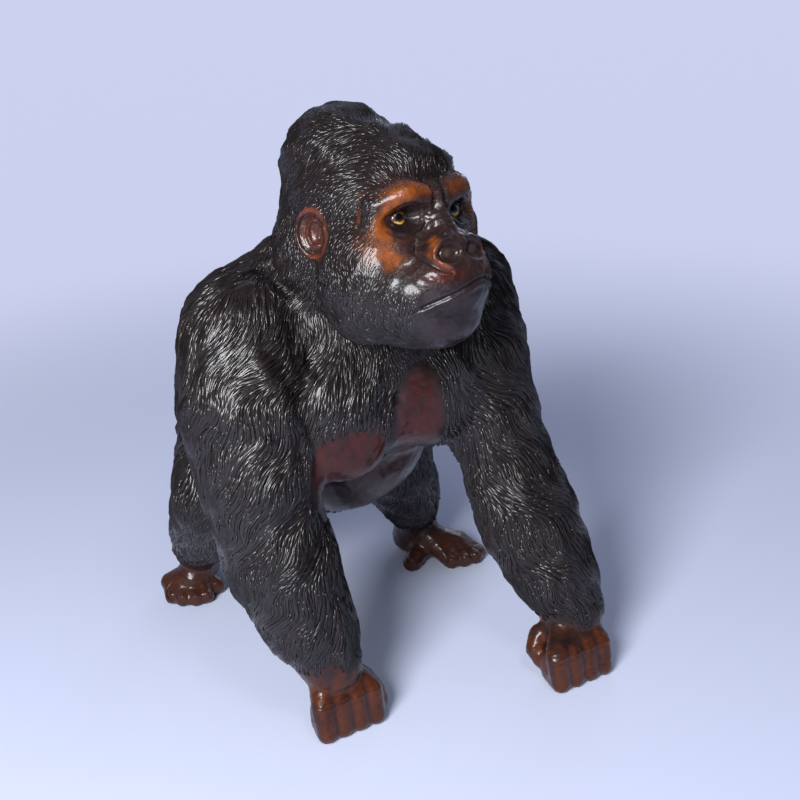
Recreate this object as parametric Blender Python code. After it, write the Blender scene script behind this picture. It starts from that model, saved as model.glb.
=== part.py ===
"""A carved wooden gorilla walking on its knuckles, with two glass eyes set in the face.

The carving is one piece of wood. It is blocked out the way a carver would see it: egg shaped masses and
tapering limbs, fused into one body, softened, and then cut back at the mouth, the nostrils and the ears.
Sizes are in millimetres and are turned into metres when a shape is made. The gorilla faces -Y, its own
left side is at +X, and the ground is at z = 0.
"""

import math

import bmesh
import bpy
import numpy as np
from mathutils import Matrix, Vector
from mathutils.bvhtree import BVHTree

MM = 0.001

# Torso
MIDLINE_X = -32.0
CHEST_RADIUS = 108.0
LOIN_RADIUS = 86.0
BELLY_RADII = (96.0, 112.0, 92.0)
RUMP_RADII = (92.0, 74.0, 88.0)
GIRDLE_RADII = (124.0, 80.0, 78.0)
PECTORAL_RADII = (57.0, 48.0, 67.0)
NECK_RADIUS = 68.0

CHEST = Vector((MIDLINE_X, 0.0, 315.0))
LOIN = Vector((MIDLINE_X + 5.0, 140.0, 240.0))
BELLY = Vector((MIDLINE_X, 50.0, 232.0))
RUMP = Vector((MIDLINE_X + 6.0, 165.0, 225.0))
GIRDLE = Vector((MIDLINE_X, -10.0, 345.0))
RIGHT_PECTORAL = Vector((MIDLINE_X - 46.0, -66.0, 290.0))
LEFT_PECTORAL = Vector((MIDLINE_X + 52.0, -66.0, 295.0))
NAPE = Vector((MIDLINE_X, 10.0, 385.0))
THROAT = Vector((MIDLINE_X - 2.0, -40.0, 430.0))

# Arms, from the shoulder down to the wrist, each point with the limb's radius there
RIGHT_ARM = (
    ((-137.0, -12.0, 362.0), 57.0),
    ((-149.0, -35.0, 305.0), 63.0),
    ((-156.0, -56.0, 240.0), 54.0),
    ((-154.0, -62.0, 205.0), 49.0),
    ((-151.0, -72.0, 165.0), 51.0),
    ((-138.0, -92.0, 100.0), 40.0),
    ((-128.0, -104.0, 62.0), 30.0),
)
LEFT_ARM = (
    ((73.0, -25.0, 352.0), 60.0),
    ((71.0, -56.0, 305.0), 53.0),
    ((74.0, -82.0, 245.0), 45.0),
    ((79.0, -92.0, 215.0), 42.0),
    ((91.0, -116.0, 145.0), 47.0),
    ((102.0, -138.0, 95.0), 41.0),
    ((111.0, -156.0, 56.0), 31.0),
)
TRAPEZIUS_RADII = (26.0, 36.0)

# Hands, closed on their knuckles
FINGER_PITCH = 17.0
FINGER_RADIUS = 9.8
KNUCKLE_HEIGHT = 33.0
CURL_LENGTH = 22.0
BACK_OF_HAND_RADIUS = 14.0
THUMB_RADIUS = 9.5
RIGHT_FINGERS = Vector((-124.5, -123.0, 0.0))
RIGHT_WRIST = Vector((-127.0, -102.0, 58.0))
RIGHT_THUMB = ((-96.0, -106.0, 36.0), (-89.0, -114.0, 24.0), (-88.0, -120.0, 14.0))
LEFT_FINGERS = Vector((94.0, -186.0, 0.0))
LEFT_WRIST = Vector((110.0, -160.0, 54.0))
LEFT_THUMB = ((76.0, -148.0, 38.0), (68.0, -152.0, 26.0), (70.0, -160.0, 16.0))

# Legs, from the hip down to the ankle
LEFT_LEG = (
    ((35.0, 145.0, 215.0), 68.0),
    ((53.0, 82.0, 150.0), 46.0),
    ((84.0, 100.0, 90.0), 33.0),
    ((100.0, 118.0, 48.0), 24.0),
)
RIGHT_LEG = (
    ((-84.0, 150.0, 215.0), 62.0),
    ((-137.0, 114.0, 150.0), 41.0),
    ((-134.0, 156.0, 95.0), 35.0),
    ((-130.0, 196.0, 50.0), 25.0),
)

# Feet
TOE_RADIUS = 9.0
BIG_TOE_RADIUS = 10.5
SOLE_FLAT = 2.0
INSTEP_RADIUS = 19.0
HEEL_RADIUS = 20.0
LEFT_FOOT = {
    "ankle": (101.0, 120.0, 40.0),
    "heel": (102.0, 134.0, 18.0),
    "ball": (112.0, 102.0, 22.0),
    "big_toe": (78.0, 92.0, 8.5),
    "toes": (
        ((112.0, 88.0), (116.0, 70.0)),
        ((124.0, 84.0), (130.0, 64.0)),
        ((134.0, 84.0), (143.0, 63.0)),
        ((140.0, 90.0), (152.0, 68.0)),
    ),
}
RIGHT_FOOT = {
    "ankle": (-126.0, 200.0, 40.0),
    "heel": (-117.0, 222.0, 18.0),
    "ball": (-140.0, 193.0, 22.0),
    "big_toe": (-120.0, 182.0, 8.5),
    "toes": (
        ((-162.0, 206.0), (-167.0, 192.0)),
        ((-156.0, 198.0), (-160.0, 180.0)),
        ((-147.0, 192.0), (-148.0, 172.0)),
        ((-137.0, 190.0), (-137.0, 170.0)),
    ),
}

# Head, in its own frame: x to the left ear, -y to the nose, z up, with its origin midway between the ears
HEAD_CENTRE = Vector((-36.0, -74.0, 451.0))
HEAD_TURN = 10.8
HEAD_LIFT = 12.5
HEAD_LEAN = 6.4
SKULL_RADII = (63.0, 74.0, 68.0)
CREST_RADII = (49.0, 62.0, 57.0)
FOREHEAD_RADII = (47.0, 47.0, 38.0)
OCCIPUT_RADII = (59.0, 54.0, 78.0)
JAW_RADII = (52.0, 47.0, 44.0)
CHEEK_RADII = (35.0, 48.0, 56.0)
MUZZLE_RADII = (41.5, 38.0, 35.0)
CHIN_RADII = (39.0, 37.0, 28.0)
MIDFACE_RADII = (58.0, 29.0, 38.0)
BROW_RADIUS = 13.5
NOSE_WING_RADII = (15.5, 15.0, 15.0)
NOSTRIL_RADII = (9.0, 8.0, 6.8)
NOSTRIL_SPACING = 24.0
MOUTH_WIDTH = 72.0
MOUTH_HEIGHT = -47.0
MOUTH_DROP = 12.5
MOUTH_PEAK = 13.0
MOUTH_BEND = 1.3
MOUTH_STEPS = 12
LIP_GROOVE_RADIUS = 2.4
EAR_RADII = (7.0, 18.0, 23.0)
EAR_BOWL_RADII = (7.5, 12.5, 17.5)
EAR_SPACING = 124.0

# Eyes
EYE_SPACING = 62.0
EYE_DIAMETER = 19.0
EYE_CLEARANCE = 0.35
EYE_DEPTH = -66.0
EYE_HEIGHT = 8.0
LID_RADII = (16.0, 11.6, 12.0)
LID_OPENING_RADII = (11.6, 10.0, 6.6)

# Main locks of the coat. The finer hair between them is only a finish
LOCK_PITCH = 27.0
LOCK_STEP = 15.0
LOCK_RADII = (7.0, 10.0, 10.0, 8.5, 6.0)
LOCK_RISES = (0.5, 3.0, 3.4, 2.6, 0.5)
LOCK_CURL = 0.45
HEAD_REACH = 112.0
BARE_EGGS = (  # centre and radii of the places that stay smooth on the chest and the belly
    ((-83.0, -84.0, 240.0), (50.0, 50.0, 44.0)),
    ((-5.0, -104.0, 270.0), (36.0, 44.0, 56.0)),
    ((-33.0, -41.0, 196.0), (84.0, 74.0, 50.0)),
)
WRIST_HEIGHT = 74.0
ANKLE_HEIGHT = 54.0

# How finely the fused masses are worked
BODY_GRAIN = 4.0
DETAIL_GRAIN = 2.0
COAT_FACES = 6500
BARE_FACES = 4300


def clear_scene():
    for old in list(bpy.data.objects):
        bpy.data.objects.remove(old, do_unlink=True)


def head_matrix():
    turned = Matrix.Rotation(math.radians(HEAD_TURN), 4, "Z")
    lifted = Matrix.Rotation(math.radians(-HEAD_LIFT), 4, "X")
    leaned = Matrix.Rotation(math.radians(HEAD_LEAN), 4, "Y")
    return Matrix.Translation(HEAD_CENTRE) @ turned @ lifted @ leaned


def egg(shape, centre, radii, frame=Matrix(), turn=0.0):
    """Adds an egg shaped mass to the shape, its axes along the frame's, or turned about z in it."""
    place = frame @ Matrix.Translation(centre) @ Matrix.Rotation(math.radians(turn), 4, "Z")
    place = place @ Matrix.Diagonal((*radii, 1.0))
    bmesh.ops.create_uvsphere(shape, u_segments=40, v_segments=24, radius=1.0, matrix=place)


def limb(shape, start, end, start_radius, end_radius, frame=Matrix(), segments=32):
    """Adds a tapering limb with round ends: a sphere whose halves are drawn apart."""
    start = frame @ Vector(start)
    end = frame @ Vector(end)
    rings = 5 * segments // 8
    made = bmesh.ops.create_uvsphere(shape, u_segments=segments, v_segments=rings, radius=1.0)
    aim = Vector((0, 0, 1)).rotation_difference(end - start).to_matrix()
    for vert in made["verts"]:
        if vert.co.z > -0.01:
            vert.co = end + aim @ vert.co * end_radius
        else:
            vert.co = start + aim @ vert.co * start_radius


def chain(shape, points):
    """Adds limbs through a row of (place, radius) pairs."""
    for (start, start_radius), (end, end_radius) in zip(points, points[1:]):
        limb(shape, start, end, start_radius, end_radius)


def mirrored(centre):
    return [Vector((side * centre[0], centre[1], centre[2])) for side in (-1, 1)]


def mesh_of(shape, name):
    mesh = bpy.data.meshes.new(name)
    bmesh.ops.scale(shape, vec=(MM, MM, MM), verts=shape.verts)
    shape.to_mesh(mesh)
    shape.free()
    return mesh


def fused(meshes, name, grain, softening):
    """Makes one closed skin round overlapping masses, and softens the creases between them."""
    joined = bmesh.new()
    for mesh in meshes:
        joined.from_mesh(mesh)
    mesh = bpy.data.meshes.new(name)
    joined.to_mesh(mesh)
    joined.free()
    block = bpy.data.objects.new(name, mesh)
    bpy.context.scene.collection.objects.link(block)
    skin = block.modifiers.new("skin", "REMESH")
    skin.mode = "VOXEL"
    skin.voxel_size = grain * MM
    if softening:
        soften = block.modifiers.new("soften", "SMOOTH")
        soften.factor = 0.5
        soften.iterations = softening
    return baked(block)


def baked(block):
    """The mesh that an object's modifiers make. The object itself goes."""
    bpy.context.view_layer.update()
    graph = bpy.context.evaluated_depsgraph_get()
    mesh = bpy.data.meshes.new_from_object(block.evaluated_get(graph))
    bpy.data.objects.remove(block, do_unlink=True)
    return mesh


def torso_masses():
    shape = bmesh.new()
    limb(shape, CHEST, LOIN, CHEST_RADIUS, LOIN_RADIUS)
    egg(shape, BELLY, BELLY_RADII)
    egg(shape, RUMP, RUMP_RADII)
    egg(shape, GIRDLE, GIRDLE_RADII)
    egg(shape, RIGHT_PECTORAL, PECTORAL_RADII)
    egg(shape, LEFT_PECTORAL, PECTORAL_RADII)
    limb(shape, NAPE, THROAT, NECK_RADIUS, NECK_RADIUS - 6.0)
    for side in (-1, 1):
        inner = (MIDLINE_X + 50.0 * side, 8.0, 410.0)
        outer = (MIDLINE_X + 100.0 * side, 2.0, 384.0)
        limb(shape, inner, outer, *TRAPEZIUS_RADII)
    return mesh_of(shape, "torso masses")


def limb_masses():
    shape = bmesh.new()
    for points in (RIGHT_ARM, LEFT_ARM, LEFT_LEG, RIGHT_LEG):
        chain(shape, points)
    return mesh_of(shape, "limb masses")


def skull_masses():
    head = head_matrix()
    shape = bmesh.new()
    egg(shape, (0, 0, 18), SKULL_RADII, head)
    egg(shape, (-4, 23, 52), CREST_RADII, head)
    egg(shape, (5, -38, 41), FOREHEAD_RADII, head)
    egg(shape, (-3, 42, -16), OCCIPUT_RADII, head)
    egg(shape, (0, -50, -60), JAW_RADII, head)
    egg(shape, (5, -60, -4), MIDFACE_RADII, head)
    egg(shape, (2, -50, 38), (46, 33, 30), head)
    for place in mirrored((37, -32, -38)):
        egg(shape, place, CHEEK_RADII, head)
        egg(shape, (0.65 * place.x, -66, -56), (27, 36, 32), head)
    egg(shape, (2, -84, -46), MUZZLE_RADII, head)
    egg(shape, (0, -72, -76), CHIN_RADII, head)
    return mesh_of(shape, "skull masses")


def face_masses():
    head = head_matrix()
    shape = bmesh.new()
    limb(shape, (0, -80, 20), (0, -93, -12), 10, 13, head)
    egg(shape, (0, -105, -20), (10, 10, 11), head)
    for side in (-1, 1):
        inner = (side * 7, -82, 22)
        arch = (side * 27, -81, 26)
        outer = (side * 45, -65, 19)
        temple = (side * 47, -62, -4)
        cheekbone = (side * 30, -74, -20)
        limb(shape, inner, arch, BROW_RADIUS - 1.5, BROW_RADIUS, head)
        limb(shape, arch, outer, BROW_RADIUS, BROW_RADIUS - 1.5, head)
        limb(shape, outer, temple, BROW_RADIUS - 2.5, BROW_RADIUS - 2, head)
        limb(shape, temple, cheekbone, BROW_RADIUS - 2, BROW_RADIUS, head)
        egg(shape, (side * 13, -97, -22), NOSE_WING_RADII, head)
        ear = (side * EAR_SPACING / 2, -2, 3)
        egg(shape, ear, EAR_RADII, head, -32 * side)
    return mesh_of(shape, "face masses")


def lid_masses():
    head = head_matrix()
    shape = bmesh.new()
    for place in mirrored((EYE_SPACING / 2, EYE_DEPTH, EYE_HEIGHT)):
        egg(shape, place, LID_RADII, head)
    return mesh_of(shape, "eyelids")


def hand_masses(wrist, fingers, thumb):
    """Four knuckles in a row, each finger curled back under the palm, and the thumb beside them."""
    shape = bmesh.new()
    for place in range(4):
        x = fingers.x + (place - 1.5) * FINGER_PITCH
        back = (wrist.x + 0.38 * (x - wrist.x), wrist.y, wrist.z - 4)
        knuckle = (x, fingers.y, KNUCKLE_HEIGHT)
        bend = (x, fingers.y - 5, FINGER_RADIUS - SOLE_FLAT)
        tip = (x + 4, fingers.y - 5 + CURL_LENGTH, FINGER_RADIUS - SOLE_FLAT)
        nail = (x + 3, fingers.y - 7 + CURL_LENGTH, KNUCKLE_HEIGHT - 9)
        limb(shape, back, knuckle, BACK_OF_HAND_RADIUS, FINGER_RADIUS + 1.2)
        limb(shape, knuckle, bend, FINGER_RADIUS + 1.0, FINGER_RADIUS)
        limb(shape, bend, tip, FINGER_RADIUS, FINGER_RADIUS - 1)
        limb(shape, tip, nail, FINGER_RADIUS - 1, FINGER_RADIUS - 1.5)
    base, middle, end = thumb
    side = 10 if base[0] > wrist.x else -10
    limb(shape, (wrist.x + side, wrist.y, wrist.z - 8), base, BACK_OF_HAND_RADIUS, THUMB_RADIUS + 1)
    limb(shape, base, middle, THUMB_RADIUS + 1, THUMB_RADIUS)
    limb(shape, middle, end, THUMB_RADIUS, THUMB_RADIUS - 1.5)
    return mesh_of(shape, "hand masses")


def foot_masses(foot):
    shape = bmesh.new()
    ankle, heel, ball, big_toe = (Vector(foot[name]) for name in ("ankle", "heel", "ball", "big_toe"))
    limb(shape, ankle, heel, HEEL_RADIUS + 2, HEEL_RADIUS)
    limb(shape, ankle, ball, HEEL_RADIUS + 1, INSTEP_RADIUS - 1)
    limb(shape, heel, ball, HEEL_RADIUS, INSTEP_RADIUS)
    for (root_x, root_y), (tip_x, tip_y) in foot["toes"]:
        root = Vector((root_x, root_y, 17))
        limb(shape, ball.lerp(root, 0.6), root, INSTEP_RADIUS - 4, TOE_RADIUS + 2.5)
        limb(shape, root, (tip_x, tip_y, TOE_RADIUS - SOLE_FLAT), TOE_RADIUS + 1.5, TOE_RADIUS)
    root = heel.lerp(ball, 0.7)
    root.z = 16
    joint = big_toe.lerp(root, 0.45)
    limb(shape, root, joint, INSTEP_RADIUS - 5, BIG_TOE_RADIUS + 1)
    limb(shape, joint, big_toe, BIG_TOE_RADIUS + 1, BIG_TOE_RADIUS)
    return mesh_of(shape, "foot masses")


def inside(place, centre, radii):
    share = [(place[axis] - centre[axis]) / radii[axis] for axis in range(3)]
    return sum(value * value for value in share) < 1


def bare(place, head_inverse):
    """Whether the wood is smooth there: the face, the ears, the chest, the hands and the feet."""
    at = head_inverse @ place
    if abs(at.x) < 58 and at.y < -34 and -108 < at.z < 40:
        return True
    if inside((abs(at.x), at.y, at.z), (EAR_SPACING / 2 + 4, -2, 3), (16, 24, 29)):
        return True
    if any(inside(place, centre, radii) for centre, radii in BARE_EGGS):
        return True
    return (place.y < -40 and place.z < WRIST_HEIGHT) or (place.y > 40 and place.z < ANKLE_HEIGHT)


def coat_way(place, head, head_inverse):
    """The way that the coat lies: away from the face on the head, and back and down on the body."""
    at = head_inverse @ place
    if at.length < HEAD_REACH:
        away = (at - Vector((0, -95, 0))).normalized()
        way = head.to_3x3() @ away + Vector((0, 0, -0.45))
    else:
        outward = 0.35 * (place.x - MIDLINE_X) / 150
        back = 0.75 if place.y > 30 and place.z > 170 else 0.12
        way = Vector((outward, back, -0.8))
    curl = LOCK_CURL * math.sin(place.x / 23 + place.z / 31) + 0.2 * math.sin(place.y / 11)
    return Matrix.Rotation(curl, 3, "Y") @ Matrix.Rotation(0.5 * curl, 3, "X") @ way


def lock_roots(mesh):
    """Points of the skin, none nearer another than the pitch of the locks."""
    points = np.empty(3 * len(mesh.vertices))
    mesh.vertices.foreach_get("co", points)
    left = points.reshape(-1, 3) / MM
    roots = []
    while len(left):
        first = left[0]
        roots.append(Vector(first))
        left = left[((left - first) ** 2).sum(1) > LOCK_PITCH**2]
    return roots


def coat_masses(mesh):
    """Main locks of hair, one mesh each: a row of tapering limbs, laid on the skin and half sunk in it."""
    head = head_matrix()
    head_inverse = head.inverted()
    skin = BVHTree.FromPolygons([vert.co / MM for vert in mesh.vertices], [face.vertices for face in mesh.polygons])
    meshes = []
    for root in lock_roots(mesh):
        place, normal = skin.find_nearest(root)[:2]
        row = []
        for radius, rise in zip(LOCK_RADII, LOCK_RISES):
            if bare(place, head_inverse):
                break
            row.append((place - normal * (radius - rise), radius))
            way = coat_way(place, head, head_inverse)
            way = (way - normal * way.dot(normal)).normalized()
            place, normal = skin.find_nearest(place + way * LOCK_STEP)[:2]
        if len(row) < 3:
            continue
        shape = bmesh.new()
        for (start, start_radius), (end, end_radius) in zip(row, row[1:]):
            limb(shape, start, end, start_radius, end_radius, segments=16)
        meshes.append(mesh_of(shape, "main lock"))
    print("laid", len(meshes), "main locks")
    return meshes


def orbit_cuts():
    head = head_matrix()
    shape = bmesh.new()
    for place in mirrored((EYE_SPACING / 2 - 1, EYE_DEPTH - 22, EYE_HEIGHT)):
        egg(shape, place, (14.5, 15, 9.5), head)
    return mesh_of(shape, "orbit cuts")


def mouth_points(mesh):
    """The line between the lips, laid on the skin: it falls away to both corners from a peak left of the middle."""
    head = head_matrix()
    toward_back = (head.to_3x3() @ Vector((0, 1, 0))).normalized()
    skin = BVHTree.FromPolygons([vert.co for vert in mesh.vertices], [face.vertices for face in mesh.polygons])
    points = []
    for step in range(MOUTH_STEPS + 1):
        across = 2 * step / MOUTH_STEPS - 1
        fall = abs(across - 2 * MOUTH_PEAK / MOUTH_WIDTH) ** MOUTH_BEND
        height = MOUTH_HEIGHT - MOUTH_DROP * fall
        start = head @ Vector((across * MOUTH_WIDTH / 2, -200, height))
        place = skin.ray_cast(start * MM, toward_back)[0]
        points.append(place / MM)
    return points


def fine_cuts(mesh):
    head = head_matrix()
    shape = bmesh.new()
    points = mouth_points(mesh)
    for start, end in zip(points, points[1:]):
        limb(shape, start, end, LIP_GROOVE_RADIUS, LIP_GROOVE_RADIUS)
    for side in (-1, 1):
        egg(shape, (side * NOSTRIL_SPACING / 2, -113, -24), NOSTRIL_RADII, head)
        bowl = (side * (EAR_SPACING / 2 + 6.5), -4, 3)
        egg(shape, bowl, EAR_BOWL_RADII, head, -32 * side)
    return mesh_of(shape, "fine cuts")


def lid_openings():
    head = head_matrix()
    shape = bmesh.new()
    for place in mirrored((EYE_SPACING / 2, EYE_DEPTH - 10, EYE_HEIGHT)):
        egg(shape, place, LID_OPENING_RADII, head)
    return mesh_of(shape, "lid openings")


def cut(mesh, cutter_mesh, name):
    """Cuts the cutter's shells out of the mesh."""
    cutter_mesh = fused([cutter_mesh], name, DETAIL_GRAIN / 2, 1)
    cutter = bpy.data.objects.new(name, cutter_mesh)
    cutter.hide_render = True
    cutter.display_type = "WIRE"
    block = bpy.data.objects.new("block", mesh)
    for made in (cutter, block):
        bpy.context.scene.collection.objects.link(made)
    taken = block.modifiers.new(name, "BOOLEAN")
    taken.operation = "DIFFERENCE"
    taken.object = cutter
    result = baked(block)
    bpy.data.objects.remove(cutter, do_unlink=True)
    return result


def thinned(mesh, free_is_bare, faces_left):
    """Keeps faces where the form turns most. It works on the bare places, or on the coat, and leaves the other."""
    head_inverse = head_matrix().inverted()
    free = [vert.index for vert in mesh.vertices if bare(vert.co / MM, head_inverse) == free_is_bare]
    block = bpy.data.objects.new("block", mesh)
    bpy.context.scene.collection.objects.link(block)
    group = block.vertex_groups.new(name="free to go")
    group.add(free, 1.0, "REPLACE")
    thin = block.modifiers.new("fewer faces", "DECIMATE")
    thin.vertex_group = group.name
    thin.ratio = 1 - (2 * len(free) - faces_left) / (2 * len(mesh.vertices))
    return baked(block)


def stood_flat(mesh):
    """Cuts the soles and knuckles off level with the ground, so that the carving stands on flats."""
    shape = bmesh.new()
    shape.from_mesh(mesh)
    sliced = bmesh.ops.bisect_plane(
        shape, geom=shape.verts[:] + shape.edges[:] + shape.faces[:],
        plane_co=(0, 0, 0), plane_no=(0, 0, 1), clear_inner=True,
    )
    rims = [piece for piece in sliced["geom_cut"] if isinstance(piece, bmesh.types.BMEdge)]
    bmesh.ops.edgenet_fill(shape, edges=rims)
    bmesh.ops.triangulate(shape, faces=shape.faces[:])
    bmesh.ops.recalc_face_normals(shape, faces=shape.faces[:])
    shape.to_mesh(mesh)
    shape.free()
    return mesh


def carving_mesh():
    head = fused([skull_masses()], "head", DETAIL_GRAIN * 1.5, 12)
    body = fused([torso_masses()], "body", BODY_GRAIN, 24)
    body = fused([body, limb_masses()], "body", BODY_GRAIN, 10)
    body = fused([body, head], "body", DETAIL_GRAIN * 1.5, 3)
    body = fused([body, face_masses()], "body", DETAIL_GRAIN, 4)
    body = cut(body, orbit_cuts(), "orbits")
    ends = [
        hand_masses(RIGHT_WRIST, RIGHT_FINGERS, RIGHT_THUMB),
        hand_masses(LEFT_WRIST, LEFT_FINGERS, LEFT_THUMB),
        foot_masses(LEFT_FOOT),
        foot_masses(RIGHT_FOOT),
        lid_masses(),
    ]
    body = fused([body, *ends, *coat_masses(body)], "body", DETAIL_GRAIN, 2)
    body = cut(body, fine_cuts(body), "fine cuts")
    body = cut(body, lid_openings(), "lid openings")
    body = fused([body], "body", DETAIL_GRAIN * 0.8, 1)
    body = thinned(body, False, COAT_FACES)
    body = thinned(body, True, BARE_FACES)
    return stood_flat(body)


def eye_place(side):
    return head_matrix() @ Vector((side * EYE_SPACING / 2, EYE_DEPTH, EYE_HEIGHT))


def ball_object(name, centre, diameter):
    shape = bmesh.new()
    bmesh.ops.create_icosphere(shape, subdivisions=3, radius=diameter / 2)
    made = bpy.data.objects.new(name, mesh_of(shape, name))
    made.data.shade_smooth()
    made.location = centre
    bpy.context.scene.collection.objects.link(made)
    return made


def surface(name, colour, roughness, coat):
    material = bpy.data.materials.new(name)
    material.use_nodes = True
    shader = material.node_tree.nodes["Principled BSDF"]
    shader.inputs["Base Color"].default_value = (*colour, 1.0)
    shader.inputs["Roughness"].default_value = roughness
    shader.inputs["Metallic"].default_value = 0.0
    shader.inputs["Coat Weight"].default_value = coat
    return material


def middle_of(mesh):
    """Where the middle of the carving's foot print lies, at ground level."""
    xs = [vert.co.x for vert in mesh.vertices]
    ys = [vert.co.y for vert in mesh.vertices]
    return Vector(((min(xs) + max(xs)) / 2, (min(ys) + max(ys)) / 2, 0.0))


def build():
    clear_scene()
    mesh = carving_mesh()
    middle = middle_of(mesh)
    mesh.transform(Matrix.Translation(-middle))
    mesh.shade_smooth()
    carving = bpy.data.objects.new("gorilla_carving", mesh)
    bpy.context.scene.collection.objects.link(carving)
    wood = surface("dark stained wood", (0.035, 0.022, 0.018), 0.32, 0.6)
    glass = surface("amber glass", (0.25, 0.12, 0.02), 0.05, 1.0)
    mesh.materials.clear()
    mesh.materials.append(wood)
    for name, side in (("right_eye", -1), ("left_eye", 1)):
        place = eye_place(side) * MM - middle
        eye = ball_object(name, place, EYE_DIAMETER)
        eye.data.materials.append(glass)
        seat = ball_object(name + " seat", place, EYE_DIAMETER + 2 * EYE_CLEARANCE)
        seat.hide_render = True
        seat.display_type = "WIRE"
        drilled = carving.modifiers.new(name + " seat", "BOOLEAN")
        drilled.operation = "DIFFERENCE"
        drilled.object = seat
    print("the middle of the foot print was at", tuple(round(value / MM, 1) for value in middle))


build()
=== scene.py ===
# %% [markdown]
# # Dressing a carved gorilla
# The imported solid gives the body, the pose and the head of a wooden gorilla. This lesson adds what a
# carver does last: the face is tooled, the coat is cut lock by lock, and the whole is stained and
# lacquered. The frame is loaded first, because each later piece is laid on it.

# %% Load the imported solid
import math

import bmesh
import bpy
import numpy as np
from mathutils import Matrix, Vector
from mathutils.bvhtree import BVHTree


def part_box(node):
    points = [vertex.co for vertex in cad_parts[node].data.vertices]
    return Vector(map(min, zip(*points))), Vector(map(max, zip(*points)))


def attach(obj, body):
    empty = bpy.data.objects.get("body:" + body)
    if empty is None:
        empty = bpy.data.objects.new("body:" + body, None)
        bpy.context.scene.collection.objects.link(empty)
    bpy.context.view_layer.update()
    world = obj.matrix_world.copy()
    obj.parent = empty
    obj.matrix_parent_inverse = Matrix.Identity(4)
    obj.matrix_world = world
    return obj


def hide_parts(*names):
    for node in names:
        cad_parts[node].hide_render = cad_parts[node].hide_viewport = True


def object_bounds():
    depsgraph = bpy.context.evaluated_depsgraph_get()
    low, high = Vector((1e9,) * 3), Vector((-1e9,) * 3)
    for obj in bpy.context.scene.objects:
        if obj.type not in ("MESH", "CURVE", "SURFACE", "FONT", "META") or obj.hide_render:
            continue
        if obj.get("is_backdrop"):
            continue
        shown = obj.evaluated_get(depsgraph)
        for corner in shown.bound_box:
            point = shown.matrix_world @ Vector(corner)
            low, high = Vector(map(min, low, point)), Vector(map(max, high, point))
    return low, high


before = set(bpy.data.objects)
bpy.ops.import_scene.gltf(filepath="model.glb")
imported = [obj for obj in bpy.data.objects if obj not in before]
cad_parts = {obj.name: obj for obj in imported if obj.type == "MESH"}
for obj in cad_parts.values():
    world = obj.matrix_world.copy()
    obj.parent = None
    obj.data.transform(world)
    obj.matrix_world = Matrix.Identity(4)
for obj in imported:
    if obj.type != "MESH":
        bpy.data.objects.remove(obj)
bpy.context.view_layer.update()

MM = 0.001
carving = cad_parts["gorilla_carving"]

# %% [markdown]
# ## The head's own frame
# Features of a face are easiest to place in the head's own axes: x towards its left ear, minus y towards
# the nose and z up. The head is turned, lifted and leaned, and the two glass eyes fix where it is, so the
# frame is worked out from their boxes and stays right when the solid is packed again.

# %% Find the head
HEAD_TURN, HEAD_LIFT, HEAD_LEAN = 10.8, 12.5, 6.4
EYE_PLACE = Vector((31.0, -66.0, 8.0))  # the left eye in the head's frame


def middle(node):
    low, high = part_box(node)
    return (low + high) / 2 / MM


head_axes = (
    Matrix.Rotation(math.radians(HEAD_TURN), 3, "Z")
    @ Matrix.Rotation(math.radians(-HEAD_LIFT), 3, "X")
    @ Matrix.Rotation(math.radians(HEAD_LEAN), 3, "Y")
)
right_eye, left_eye = middle("right_eye"), middle("left_eye")
head_middle = (right_eye + left_eye) / 2 - head_axes @ Vector((0, EYE_PLACE.y, EYE_PLACE.z))
HEAD = Matrix.Translation(head_middle) @ head_axes.to_4x4()
AXES = np.array(head_axes)
MIDDLE = np.array(head_middle)


def in_head(points):
    """Row frame millimetres turned into the head's frame."""
    return (points - MIDDLE) @ AXES


print("the head's middle is at", [round(x) for x in head_middle])

# %% [markdown]
# ## Zones of the coat
# A carver leaves the face, the ears, the chest muscles, the hands and the feet smooth, and cuts hair
# everywhere else. Each smooth zone is written as a signed depth in millimetres: above zero is bare wood,
# below zero is hair. One function then serves the tools, the hair and the stain alike.

# %% Say where the wood is bare
FACE_OUTLINE = (  # height in the head's frame, half width of the bare face there
    (-106, 0), (-98, 26), (-84, 36), (-70, 39), (-52, 37), (-38, 44), (-24, 53),
    (0, 51), (14, 50), (27, 43), (34, 30), (38, 0),
)
FACE_TOP, FACE_BOTTOM, FACE_BACK = 38.0, -106.0, -38.0
EAR = np.array((64.0, -2.0, 3.0))
CHEST_EGGS = (  # the right muscle, the left muscle and the belly, in the row frame: centre, radii
    ((-60.0, -108.0, 248.0), (46.0, 52.0, 52.0)),
    ((8.0, -122.0, 274.0), (26.0, 44.0, 60.0)),
    ((-8.0, -62.0, 196.0), (84.0, 74.0, 46.0)),
)
RIGHT_WRIST_LINE, LEFT_WRIST_LINE, ANKLE_LINE = 82.0, 66.0, 52.0


def waves(points, length, seed):
    """Smooth noise from -1 to 1, as a sum of plane waves in fixed random directions."""
    random = np.random.default_rng(seed)
    total = np.zeros(len(points))
    for _ in range(7):
        way = random.normal(size=3)
        way /= np.linalg.norm(way)
        pitch = length * random.uniform(0.7, 1.5)
        total += np.sin(points @ way * 2 * math.pi / pitch + random.uniform(0, 6.3))
    return np.clip(total / 2.6, -1, 1)


def inside_egg(points, centre, radii):
    """Depth inside an egg shape, about in millimetres."""
    share = np.linalg.norm((points - centre) / radii, axis=1)
    return (1 - share) * min(radii)


def in_eggs(points, eggs):
    """Depth inside whichever egg of several holds a point deepest."""
    depths = [inside_egg(points, np.array(centre), np.array(radii)) for centre, radii in eggs]
    return np.max(depths, axis=0)


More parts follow.
